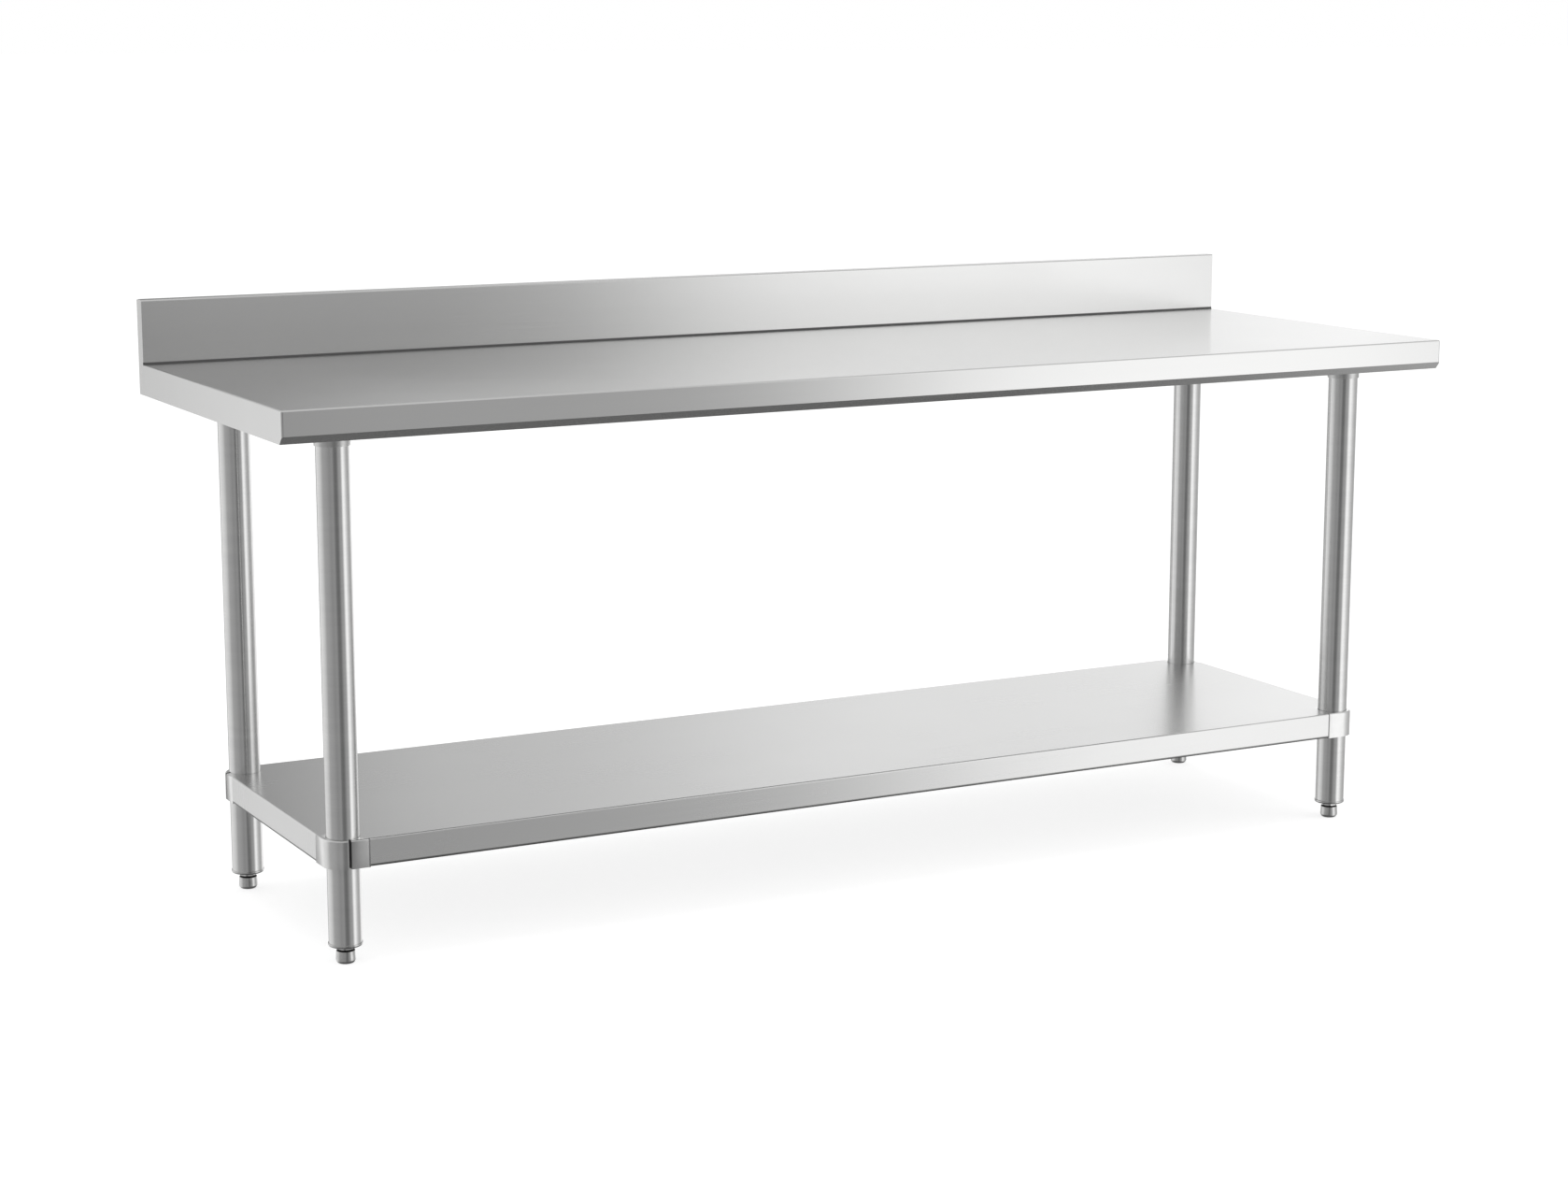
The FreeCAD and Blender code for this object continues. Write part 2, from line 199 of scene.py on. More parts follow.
def blend_tone(tree, factor, first, second):
    inputs = {0: factor, 6: first, 7: second}
    return add(tree, "ShaderNodeMix", inputs, data_type="RGBA").outputs[2]


def vector_of(tree, x, y, z):
    return add(tree, "ShaderNodeCombineXYZ", {0: x, 1: y, 2: z}).outputs[0]


def parts_of(tree, vector):
    return add(tree, "ShaderNodeSeparateXYZ", {0: vector}).outputs


def noise(tree, vector, scale=1.0, detail=2.0, roughness=0.5):
    inputs = {"Vector": vector, "Scale": scale, "Detail": detail, "Roughness": roughness}
    return add(tree, "ShaderNodeTexNoise", inputs).outputs[0]


def new_material(name):
    material = bpy.data.materials.new(name)
    material.use_nodes = True
    material.node_tree.nodes.clear()
    return material, material.node_tree


def finish_material(tree, shader):
    add(tree, "ShaderNodeOutputMaterial", {"Surface": shader})


def place_on_piece(tree):
    return add(tree, "ShaderNodeTexCoord").outputs["Object"]


def metal(tree, colour, rough, relief, strength, distance, more=None):
    """Metal with a fine relief, and whatever more its finish sets on the shader."""
    bump = add(tree, "ShaderNodeBump", {
        "Strength": strength, "Distance": distance, "Height": relief})
    inputs = {"Base Color": colour, "Metallic": 1.0, "Roughness": rough, "Normal": bump.outputs[0]}
    inputs.update(more or {})
    finish_material(tree, add(tree, "ShaderNodeBsdfPrincipled", inputs).outputs[0])


def painted_shade_and_roughness(tree, where, colour, rough, shade, dull_rough):
    """Colour and roughness, changed to a darker and rougher pair where the factor is one. The
    darker colour is painted shade.
    """
    return blend_tone(tree, where, colour, grey(shade)), blend_value(tree, where, rough, dull_rough)


def sheet_directions(tree):
    """Distance along and across the grain of a folded sheet, and the direction that it blurs in."""
    x, y, z = parts_of(tree, place_on_piece(tree))
    normal = add(tree, "ShaderNodeNewGeometry").outputs["Normal"]
    normal_x, normal_y, _ = parts_of(tree, normal)
    faces_front = calc(tree, "GREATER_THAN", calc(tree, "ABSOLUTE", normal_y), 0.7)
    faces_end = calc(tree, "GREATER_THAN", calc(tree, "ABSOLUTE", normal_x), 0.7)
    across = blend_value(tree, faces_front, y, z)
    along = blend_value(tree, faces_end, x, z)
    blur = vector_of(tree, 0.0, calc(tree, "SUBTRACT", 1.0, faces_front), faces_front)
    return along, across, blur


def painted_fold_shade(tree):
    """One inside the fold between worktop and splash, where the sheet is darkened as painted shade.
    """
    _, y, z = parts_of(tree, place_on_piece(tree))
    off_splash = calc(tree, "SUBTRACT", y, splash_face)
    off_worktop = calc(tree, "SUBTRACT", z, work_height)
    return times(tree, within(tree, off_splash, *fold_across), within(tree, off_worktop, *fold_up))


def painted_bottom_fold_shade(tree):
    """One round the shelf's bottom fold, where the sheet is darkened as painted shade."""
    z = parts_of(tree, place_on_piece(tree))[2]
    return fade(tree, calc(tree, "SUBTRACT", z, shelf_lowest), *bottom_fold_up)


def grain_lines(tree, along, across, scales, start, **kind):
    """Noise drawn out along a sheet's grain, by its scales along and across it."""
    place = vector_of(tree, times(tree, along, scales[0]), times(tree, across, scales[1]), start)
    return noise(tree, place, **kind)


def brushed_sheet(name, tone, shade, roughness, anisotropy, streaks, fold=False, bottom_fold=False):
    """Stainless sheet with a belt-ground finish. The scratches run along the sheet."""
    material, tree = new_material(name)
    along, across, blur = sheet_directions(tree)
    scratch = grain_lines(tree, along, across, scales=(22.0, 2300.0), start=0.0, detail=3.0)
    streak = grain_lines(tree, along, across, scales=(1.3, 190.0), start=4.0, detail=4.0,
                         roughness=0.6)
    band = grain_lines(tree, along, across, scales=(0.7, 26.0), start=9.0, detail=2.0)
    cloud = noise(tree, place_on_piece(tree), scale=5.0, detail=4.0, roughness=0.55)
    marks = blend_value(tree, 0.45, blend_value(tree, 0.5, streak, band), scratch)
    marks = fade(tree, marks, 0.5 - streaks, 0.5 + streaks)
    colour = blend_tone(tree, marks, (*shade, 1.0), (*tone, 1.0))
    rough = calc(tree, "ADD", fade(tree, streak, 0.25, 0.75, roughness - 0.012, roughness + 0.012),
                 fade(tree, cloud, 0.3, 0.7, -0.008, 0.010))
    if fold:
        # Painted shade: the fold between worktop and splash is darkened.
        inside = painted_fold_shade(tree)
        colour, rough = painted_shade_and_roughness(tree, inside, colour, rough, shade=0.16, dull_rough=0.45)
    if bottom_fold:
        # Painted shade: the shelf's bottom fold is darkened.
        below = painted_bottom_fold_shade(tree)
        colour, rough = painted_shade_and_roughness(tree, below, colour, rough, shade=0.27, dull_rough=0.40)
    metal(tree, colour, rough, scratch, strength=0.045, distance=0.00012, more={
        "Anisotropic": anisotropy, "Specular Tint": grey(0.92), "Tangent": blur})
    return material


def ring_lines(tree, round_scale, up_scale, **kind):
    """Noise drawn out round an upright tube."""
    x, y, z = parts_of(tree, place_on_piece(tree))
    place = vector_of(tree, times(tree, x, round_scale), times(tree, y, round_scale),
                      times(tree, z, up_scale))
    return noise(tree, place, **kind)


def polished_tube(name, tone, shade, roughness, anisotropy):
    """Tube ground on a centreless machine. The marks run round it."""
    material, tree = new_material(name)
    rings = ring_lines(tree, round_scale=18.0, up_scale=1700.0, detail=3.0)
    bands = ring_lines(tree, round_scale=9.0, up_scale=60.0, detail=2.0)
    marks = blend_value(tree, 0.5, rings, bands)
    colour = blend_tone(tree, fade(tree, marks, 0.3, 0.7), (*shade, 1.0), (*tone, 1.0))
    rough = fade(tree, bands, 0.25, 0.75, roughness - 0.02, roughness + 0.02)
    upright = vector_of(tree, 0.0, 0.0, 1.0)
    metal(tree, colour, rough, rings, strength=0.08, distance=0.0002, more={
        "Anisotropic": anisotropy, "Tangent": upright})
    return material


def painted_collar_shade(tree):
    """Masks of painted shade: one darkens the saw cut that lets a collar close on its leg, and one
    darkens the ends of the wings that lie along the table. The four collars are one casting turned
    by quarter turns, so the cut changes side from corner to corner."""
    x, y, _ = parts_of(tree, place_on_piece(tree))
    leg_x, leg_y, _ = leg_axis("rear_right")
    cut_in_long_side = calc(tree, "GREATER_THAN", times(tree, x, y), 0.0)
    off_x = calc(tree, "SUBTRACT", calc(tree, "ABSOLUTE", x), leg_x)
    off_y = calc(tree, "SUBTRACT", calc(tree, "ABSOLUTE", y), leg_y)
    beside = calc(tree, "ABSOLUTE", blend_value(tree, cut_in_long_side, off_y, off_x))
    outward = blend_value(tree, cut_in_long_side, off_x, off_y)
    cut = times(tree, within(tree, outward, *cut_deep), fade(tree, beside, *cut_across))
    off_end = calc(tree, "ADD", off_x, wing_long)
    ends = times(tree, fade(tree, off_end, *wing_end), fade(tree, off_y, *wing_outer_wall))
    return cut, ends


def cast_metal(name, tone, shade, roughness, grain_scale, collar=False):
    """Satin blasted casting with a fine even grain."""
    material, tree = new_material(name)
    place = place_on_piece(tree)
    grain = noise(tree, place, scale=grain_scale, detail=4.0, roughness=0.6)
    cloud = noise(tree, place, scale=60.0, detail=3.0)
    colour = blend_tone(tree, fade(tree, cloud, 0.3, 0.7), (*shade, 1.0), (*tone, 1.0))
    rough = fade(tree, grain, 0.3, 0.7, roughness - 0.05, roughness + 0.05)
    if collar:
        # Painted shade: the saw cut and the ends of the wings are darkened.
        cut, ends = painted_collar_shade(tree)
        colour = blend_tone(tree, times(tree, ends, 0.8), colour, grey(0.22))
        colour = blend_tone(tree, cut, colour, grey(0.17))
        rough = blend_value(tree, calc(tree, "MAXIMUM", cut, ends), rough, 0.50)
    metal(tree, colour, rough, grain, strength=0.15, distance=0.0002)
    return material


def galvanised(name, tone, shade, roughness):
    """Zinc coating with its crystal pattern."""
    material, tree = new_material(name)
    place = place_on_piece(tree)
    warp = noise(tree, place, scale=70.0, detail=2.0)
    shift = vector_of(tree, times(tree, warp, 0.006), times(tree, warp, 0.004), 0.0)
    bent = add(tree, "ShaderNodeVectorMath", {0: place, 1: shift}, operation="ADD").outputs[0]
    crystals = add(tree, "ShaderNodeTexVoronoi", {
        "Vector": bent, "Scale": 110.0, "Randomness": 1.0})
    shade_of_crystal = parts_of(tree, crystals.outputs["Color"])[0]
    fine = noise(tree, place, scale=900.0, detail=3.0)
    mixed = blend_value(tree, 0.25, shade_of_crystal, fine)
    colour = blend_tone(tree, mixed, (*shade, 1.0), (*tone, 1.0))
    rough = fade(tree, mixed, 0.1, 0.9, roughness - 0.08, roughness + 0.08)
    metal(tree, colour, rough, mixed, strength=0.1, distance=0.0002)
    return material


def painted_foot_shade(tree):
    """One at a foot's neck, its sole and the underside of the rim above it: painted shade."""
    z = parts_of(tree, place_on_piece(tree))[2]
    sole = fade(tree, z, *sole_hollow)
    hollows = calc(tree, "MAXIMUM", within(tree, z, *neck_hollow), within(tree, z, *rim_hollow))
    return calc(tree, "MAXIMUM", sole, hollows)


def plated(name, tone, shade, roughness, foot=False):
    """Bright plating over machined steel."""
    material, tree = new_material(name)
    place = place_on_piece(tree)
    fine = noise(tree, place, scale=1400.0, detail=3.0)
    cloud = noise(tree, place, scale=120.0, detail=3.0)
    colour = blend_tone(tree, fade(tree, cloud, 0.3, 0.7), (*shade, 1.0), (*tone, 1.0))
    mottle = blend_value(tree, 0.5, fine, cloud)
    rough = fade(tree, mottle, 0.3, 0.7, roughness - 0.04, roughness + 0.05)
    if foot:
        # Painted shade: the foot's neck, its sole and the part under the rim are darkened.
        colour, rough = painted_shade_and_roughness(tree, painted_foot_shade(tree), colour, rough, shade=0.13, dull_rough=0.45)
    metal(tree, colour, rough, fine, strength=0.06, distance=0.0001)
    return material


finishes = {
    "worktop_sheet": brushed_sheet(
        "brushed_worktop", tone=(0.83, 0.83, 0.825), shade=(0.80, 0.80, 0.795), roughness=0.19,
        anisotropy=0.65, streaks=0.30, fold=True),
    "shelf_sheet": brushed_sheet(
        "brushed_shelf", tone=(0.82, 0.82, 0.815), shade=(0.80, 0.80, 0.797), roughness=0.26,
        anisotropy=0.42, streaks=0.30, bottom_fold=True),
    "leg_tube": polished_tube(
        "polished_leg_tube", tone=(0.80, 0.80, 0.795), shade=(0.74, 0.74, 0.738), roughness=0.20,
        anisotropy=0.75),
    "collar_metal": cast_metal(
        "satin_collar", tone=(0.86, 0.86, 0.855), shade=(0.82, 0.82, 0.815), roughness=0.19,
        grain_scale=900.0, collar=True),
    "socket_steel": cast_metal(
        "satin_socket", tone=(0.74, 0.74, 0.735), shade=(0.66, 0.66, 0.655), roughness=0.34,
        grain_scale=800.0),
    "galvanised_channel": galvanised(
        "galvanised_channel", tone=(0.72, 0.74, 0.75), shade=(0.50, 0.52, 0.54), roughness=0.40),
    "foot_metal": plated(
        "bright_foot", tone=(0.72, 0.72, 0.715), shade=(0.62, 0.62, 0.615), roughness=0.17,
        foot=True),
    "plated_fastener": plated(
        "plated_fastener", tone=(0.78, 0.79, 0.80), shade=(0.62, 0.64, 0.67), roughness=0.28),
}
for node in nodes.values():
    for place, carried in enumerate(node.data.materials):
        slot_name = carried.name.split(".")[0]
        node.data.materials[place] = finishes[slot_name]


# ---------------------------------------------------------------- pieces finer than the solids

def edge_turn(edge):
    """Angle between the two faces of an edge, in degrees."""
    if len(edge.link_faces) != 2:
        return 180.0
    return math.degrees(edge.calc_face_angle(math.pi))


def smooth_below(build, limit):
    """Smooth faces, with a crisp edge wherever two faces turn by more than the limit in degrees."""
    for face in build.faces:
        face.smooth = True
    for edge in build.edges:
        edge.smooth = edge_turn(edge) < limit


def piece_from(build, name, slot_name, crisp=crisp_turn):
    """Object made from a bmesh, with the finish of a material slot."""
    smooth_below(build, crisp)
    mesh = mesh_of(build, name)
    mesh.materials.append(finishes[slot_name])
    return put_in_scene(name, mesh)


def fit_out(piece, body, slot_name, *stands_for):
    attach(piece, body)
    if stands_for:
        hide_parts(*stands_for)
    return piece


def turned_rings(build, rings, segments, place, bored=False):
    """Closed skin through rings of (height, radius), where a radius may depend on the angle.
    The place matrix puts it in the model. The rings of a bored piece go on down its hole."""
    loops = []
    for height, radius in rings:
        loop = []
        for step in range(segments):
            angle = 2 * math.pi * step / segments
            reach = radius(angle, height) if callable(radius) else radius
            point = Vector((reach * math.cos(angle), reach * math.sin(angle), height))
            loop.append(build.verts.new(place @ point))
        loops.append(loop)
    pairs = list(zip(loops, loops[1:]))
    if bored:
        pairs.append((loops[-1], loops[0]))
    for lower, upper in pairs:
        for step in range(segments):
            after = (step + 1) % segments
            build.faces.new((lower[step], lower[after], upper[after], upper[step]))
    if not bored:
        build.faces.new(tuple(reversed(loops[0])))
        build.faces.new(tuple(loops[-1]))


def hexagon_reach(flats):
    """Radius of a hexagon at an angle, with a corner at angle nought."""
    def reach(angle, height):
        off_flat = (math.degrees(angle) % 60.0) - 30.0
        return flats / 2 / math.cos(math.radians(off_flat))
    return reach


def chamfered_hexagon(flats, low, high, steps=5):
    """Rings of a hexagon whose corners are turned off at 30 degrees at both ends."""
    corner = flats / math.sqrt(3)
    start = flats / 2 * 0.985
    drop = (corner - start) * math.tan(math.radians(30))
    reach = hexagon_reach(flats)
    rings = []
    for step in range(steps + 1):
        cone = start + (corner - start) * step / steps
        rings.append((low + drop * step / steps, lambda a, h, cone=cone: min(cone, reach(a, h))))
    for step in range(steps, -1, -1):
        cone = start + (corner - start) * step / steps
        rings.append((high - drop * step / steps, lambda a, h, cone=cone: min(cone, reach(a, h))))
    return rings


def screw_thread(radius, depth, pitch, low, high, per_turn=8):
    """Rings of a right-hand thread that fades out at both ends."""
    count = max(2, round((high - low) / pitch * per_turn))

    def reach(angle, height):
        full = max(0.0, min(1.0, (height - low) / pitch, (high - height) / pitch))
        wave = math.cos(2 * math.pi * (height / pitch) - angle)
        return radius - depth * 0.5 * (1 - wave) * full - depth * (1 - full)
    return [(low + (high - low) * step / count, reach) for step in range(count + 1)]


def foot_centre(corner):
    low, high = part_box("foot_" + corner)
    return Vector(((low.x + high.x) / 2, (low.y + high.y) / 2, low.z)), high.z - low.z


def bullet_foot(corner):
    """Turned foot: rounded sole, tapered body, neck, hexagon and threaded stem."""
    centre, tall = foot_centre(corner)
    sole = foot_body - foot_sole_round
    rings = [(0.0, sole - foot_edge), (0.00015, sole + foot_edge)]
    for step in range(1, 9):
        angle = math.radians(90 * step / 8)
        rings.append((foot_sole_round * (1 - math.cos(angle)),
                      sole + foot_sole_round * math.sin(angle)))
    for step in range(5):
        angle = math.radians(90 * step / 4)
        rings.append((foot_shoulder_low + foot_shoulder_round * math.sin(angle),
                      foot_shoulder - foot_shoulder_round * (1 - math.cos(angle))))
    rings += [(foot_neck_low, foot_neck + foot_edge), (foot_neck_low + 0.0002, foot_neck),
              (foot_hex_low - 0.0001, foot_neck)]
    rings += chamfered_hexagon(foot_hex_flats, foot_hex_low, foot_hex_high - 0.0001)
    relief = foot_stem - foot_stem_relief
    rings += [(foot_hex_high - 0.00005, foot_stem + 0.0006), (foot_hex_high + foot_edge, relief),
              (foot_hex_high + 0.0020, relief)]
    rings += screw_thread(foot_stem, foot_thread_deep, foot_pitch,
                          foot_hex_high + 0.0022, tall - 0.0012)
    rings += [(tall, foot_stem - 2 * foot_thread_deep)]
    build = bmesh.new()
    turned_rings(build, rings, 48, Matrix.Translation(centre))
    piece = piece_from(build, "turned_foot_" + corner, "foot_metal")
    return fit_out(piece, "adjuster_" + corner, "foot_metal", "foot_" + corner)


def grub_screw(build, place):
    """Socket set screw along +Z of the place matrix, cup point at its start."""
    key = hexagon_reach(screw_key_flats)
    rings = [(0.0006, 0.0010), (0.0, 0.0016), (0.0, 0.0022), (0.0014, screw_radius - 0.0005)]
    rings += screw_thread(screw_radius, small_thread_deep, screw_pitch, 0.0016, screw_long - 0.0006)
    rings += [(screw_long, screw_radius - 0.0008), (screw_long, 0.0027),
              (screw_long - 0.0004, key), (screw_long - screw_key_deep, key),
              (screw_long - screw_key_deep - 0.0008, 0.0006)]
    turned_rings(build, rings, 36, place)


def set_screws(name, stands_for, body, places):
    build = bmesh.new()
    for place in places:
        grub_screw(build, place)
    return fit_out(piece_from(build, name, "plated_fastener"), body, "plated_fastener", stands_for)


def screw_place(corner, heading, height):
    """Matrix whose +Z points away from the leg at a heading, starting just off the tube."""
    x, y, radius = leg_axis(corner)
    away = Vector((math.cos(heading), math.sin(heading), 0.0))
    start = Vector((x, y, height)) + away * (radius + screw_off_tube)
    return Matrix.Translation(start) @ away.to_track_quat("Z", "Y").to_matrix().to_4x4()


def merged_copy(node):
    """The node's skin with its loose triangles joined and its flat faces whole again."""
    build = bmesh.new()
    build.from_mesh(nodes[node].data)
    bmesh.ops.remove_doubles(build, verts=build.verts, dist=2e-6)
    bmesh.ops.dissolve_degenerate(build, edges=build.edges, dist=1e-6)
    bmesh.ops.dissolve_limit(build, angle_limit=math.radians(0.4), verts=build.verts,
                             edges=build.edges)
    bmesh.ops.recalc_face_normals(build, faces=build.faces)
    return build


def eased_copy(node, name, slot_name, body, width, least_turn=40.0):
    """Copy of a solid with its sharp edges eased, as after tumbling or a file."""
    build = merged_copy(node)
    sharp = [edge for edge in build.edges
             if len(edge.link_faces) == 2 and edge_turn(edge) > least_turn]
    bmesh.ops.bevel(build, geom=sharp, offset=width, offset_type="OFFSET", segments=2, profile=0.6,
                    affect="EDGES", clamp_overlap=True)
    return fit_out(piece_from(build, name, slot_name, crisp=38.0), body, slot_name, node)


# ---------------------------------------------------------------- what repeats or follows a path

def new_tree(name, *inputs):
    """Geometry node group with named inputs, and its input and output nodes."""
    tree = bpy.data.node_groups.new(name, "GeometryNodeTree")
    for label, kind in inputs:
        tree.interface.new_socket(label, in_out="INPUT", socket_type="NodeSocket" + kind)
    tree.interface.new_socket("Geometry", in_out="OUTPUT", socket_type="NodeSocketGeometry")
    return tree, tree.nodes.new("NodeGroupInput").outputs


def end_tree(tree, geometry, finish):
    """Real mesh in its finish."""
    real = add(tree, "GeometryNodeRealizeInstances", {"Geometry": geometry}).outputs[0]
    dressed = add(tree, "GeometryNodeSetMaterial", {
        "Geometry": real, "Material": finish}).outputs[0]
    add(tree, "NodeGroupOutput", {"Geometry": dressed})


def grow(build, tree, values):
    """Add what a tree makes from the given values to a bmesh."""
    seed_mesh = bpy.data.meshes.new("seed")
    seed = put_in_scene("seed", seed_mesh)
    grower = seed.modifiers.new("grower", "NODES")
    grower.node_group = tree
    for item in tree.interface.items_tree:
        if item.in_out == "INPUT" and item.name in values:
            grower[item.identifier] = values[item.name]
    evaluated = seed.evaluated_get(bpy.context.evaluated_depsgraph_get())
    grown = bpy.data.meshes.new_from_object(evaluated)
    seed.modifiers.remove(grower)
    build.from_mesh(grown)
    bpy.data.objects.remove(seed)
    bpy.data.meshes.remove(seed_mesh)
    bpy.data.meshes.remove(grown)


def fastener_rows_tree():
    """Two rows of one fastener, either side of a channel's middle line, each turned by chance."""
    tree, given = new_tree(
        "fastener_rows", ("Fastener", "Object"), ("Row start", "Vector"), ("Row end", "Vector"),
        ("To flange", "Vector"), ("Count", "Int"), ("Greatest turn", "Float"), ("Seed", "Int"),
        ("Finish", "Material"))
    row = add(tree, "GeometryNodeMeshLine", {
        "Count": given["Count"], "Start Location": given["Row start"], "Offset": given["Row end"]},
        mode="END_POINTS", count_mode="TOTAL").outputs[0]
    other_way = add(tree, "ShaderNodeVectorMath", {0: given["To flange"], "Scale": -1.0},
                    operation="SCALE").outputs[0]
    both = tree.nodes.new("GeometryNodeJoinGeometry")
    for shift in (given["To flange"], other_way):
        moved = add(tree, "GeometryNodeTransform", {
            "Geometry": row, "Translation": shift}).outputs[0]
        tree.links.new(moved, both.inputs[0])
    turn = add(tree, "FunctionNodeRandomValue", {
        "Max": given["Greatest turn"], "Seed": given["Seed"]}, data_type="FLOAT")
    random_turn = next(socket for socket in turn.outputs if socket.enabled)
    turned = add(tree, "ShaderNodeCombineXYZ", {"Z": random_turn}).outputs[0]
    shape = add(tree, "GeometryNodeObjectInfo", {"Object": given["Fastener"]}).outputs["Geometry"]
    placed = add(tree, "GeometryNodeInstanceOnPoints", {
        "Points": both.outputs[0], "Instance": shape, "Rotation": turned}).outputs[0]
    end_tree(tree, placed, given["Finish"])
    return tree


def weld_bead_tree():
    """Rippled bead of weld metal round a tube."""
    tree, given = new_tree(
        "weld_bead", ("Centre", "Vector"), ("Ring radius", "Float"), ("Bead radius", "Float"),
        ("Ripples", "Float"), ("Ripple depth", "Float"), ("Finish", "Material"))
    ring = add(tree, "GeometryNodeCurvePrimitiveCircle", {
        "Resolution": 220, "Radius": given["Ring radius"]}).outputs[0]
    along = add(tree, "GeometryNodeSplineParameter").outputs["Factor"]
    rippling = times(tree, along, given["Ripples"])
    wave = calc(tree, "SINE", times(tree, rippling, 2 * math.pi))
    thick = calc(tree, "ADD", 1.0, times(tree, wave, given["Ripple depth"]))
    rippled = add(tree, "GeometryNodeSetCurveRadius", {"Curve": ring, "Radius": thick}).outputs[0]
    section = add(tree, "GeometryNodeCurvePrimitiveCircle", {
        "Resolution": 8, "Radius": given["Bead radius"]}).outputs[0]
    bead = add(tree, "GeometryNodeCurveToMesh", {
        "Curve": rippled, "Profile Curve": section}).outputs[0]
    placed = add(tree, "GeometryNodeTransform", {
        "Geometry": bead, "Translation": given["Centre"]}).outputs[0]
    end_tree(tree, placed, given["Finish"])
    return tree


def master(build):
    """Object whose mesh the rows repeat; rows_of removes it once they are grown."""
    smooth_below(build, crisp_turn)
    return put_in_scene("master", mesh_of(build, "master"))


def threaded_stud():
    """Weld stud, its weld end up."""
    build = bmesh.new()
    thread_end = -stud_thread_end
    rings = [(-stud_long, stud_radius - 0.0009), (-stud_long + 0.0006, stud_radius - 0.0005)]
    rings += screw_thread(stud_radius, small_thread_deep, stud_pitch,
                          -stud_long + 0.0008, thread_end, per_turn=6)
    rings += [(thread_end + 0.0002, stud_radius - small_thread_deep),
              (thread_end + 0.0004, stud_radius), (0.0, stud_radius)]
    turned_rings(build, rings, 14, Matrix())
    return master(build)


def hexagon_nut():
    """Nut with its chamfered bore, seat face up at nought."""
    build = bmesh.new()
    bore = stud_radius + 0.00008
    mouth = bore + 0.0007
    seat = nut_flats / 2 * 0.96
    rings = [(-nut_high, mouth), (-nut_high, seat)]
    rings += chamfered_hexagon(nut_flats, -nut_high + 0.0002, -0.0002, steps=3)
    rings += [(0.0, seat), (0.0, mouth), (-nut_edge, bore), (-nut_high + nut_edge, bore)]
    turned_rings(build, rings, 36, Matrix(), bored=True)
    return master(build)


def spot_weld():
    """Shallow round mark that a spot welder leaves, standing 0.2 mm proud of the flange."""
    build = bmesh.new()
    rings = [(-0.0002, 0.0022), (-0.00018, 0.0030), (-0.0001, 0.0036), (0.0001, 0.0038)]
    turned_rings(build, rings, 20, Matrix())
    return master(build)


def channel_rows(node, height, margin, spacing):
    """Where the two rows of one channel run: start, end, step to a flange and count in a row."""
    low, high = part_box(node)
    middle = (low + high) / 2
    along_x = high.x - low.x > high.y - low.y
    half = (high.x - low.x if along_x else high.y - low.y) / 2 - margin
    along = Vector((half, 0, 0)) if along_x else Vector((0, half, 0))
    across = Vector((0, row_offset, 0)) if along_x else Vector((row_offset, 0, 0))
    base = Vector((middle.x, middle.y, height))
    return base - along, base + along, across, max(2, math.ceil(2 * half / spacing) + 1)


def rows_of(tree, shape, finish_slot, rows, turn=0.0):
    """The fastener in every row. The shape is used up."""
    build = bmesh.new()
    for seed, (start, end, across, count) in enumerate(rows):
        grow(build, tree, {
            "Fastener": shape, "Row start": start, "Row end": end, "To flange": across,
            "Count": count, "Greatest turn": turn, "Seed": seed + first_seed,
            "Finish": finishes[finish_slot]})
    bpy.data.objects.remove(shape)
    return build


for corner in corners:
    bullet_foot(corner)
    eased_copy("shelf_collar_" + corner, "eased_collar_" + corner, "collar_metal", "shelf_assembly",
               eased_collar)
    eased_copy("leg_socket_" + corner, "eased_socket_" + corner, "socket_steel", "table_frame",
               eased_socket)

top_channels = (
    "long_channel_front", "long_channel_rear", "cross_channel_left", "cross_channel_right")
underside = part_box("channel_studs")[1].z
fastener_rows = fastener_rows_tree()

stud_rows = [channel_rows(node, underside, stud_margin, stud_spacing) for node in top_channels]
studs = rows_of(fastener_rows, threaded_stud(), "plated_fastener", stud_rows)
studs = piece_from(studs, "threaded_studs", "plated_fastener")
fit_out(studs, "table_frame", "plated_fastener", "channel_studs")

nut_rows = [channel_rows(node, underside - channel_sheet, stud_margin, stud_spacing)
            for node in top_channels]
nuts = rows_of(fastener_rows, hexagon_nut(), "plated_fastener", nut_rows, turn=math.radians(60))
nuts = piece_from(nuts, "hexagon_nuts", "plated_fastener")
fit_out(nuts, "table_frame", "plated_fastener", "channel_nuts")

shelf_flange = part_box("shelf_channel")[1].z - channel_sheet
spot_rows = [channel_rows("shelf_channel", shelf_flange, spot_margin, spot_spacing)]
spots = rows_of(fastener_rows, spot_weld(), "galvanised_channel", spot_rows)
spots = piece_from(spots, "shelf_channel_spot_welds", "galvanised_channel")
fit_out(spots, "shelf_assembly", "galvanised_channel")

beads = bmesh.new()
bead_tree = weld_bead_tree()
for corner in corners:
    socket_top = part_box("leg_socket_" + corner)[1].z
    x, y, tube = leg_axis(corner)
    grow(beads, bead_tree, {
        "Centre": Vector((x, y, socket_top - bead_below_top)),
        "Ring radius": tube + bead_radius + bead_gap, "Bead radius": bead_radius,
        "Ripples": bead_ripples, "Ripple depth": bead_ripple_deep,
        "Finish": finishes["socket_steel"]})
beads = piece_from(beads, "socket_weld_beads", "socket_steel", crisp=60.0)
fit_out(beads, "table_frame", "socket_steel")

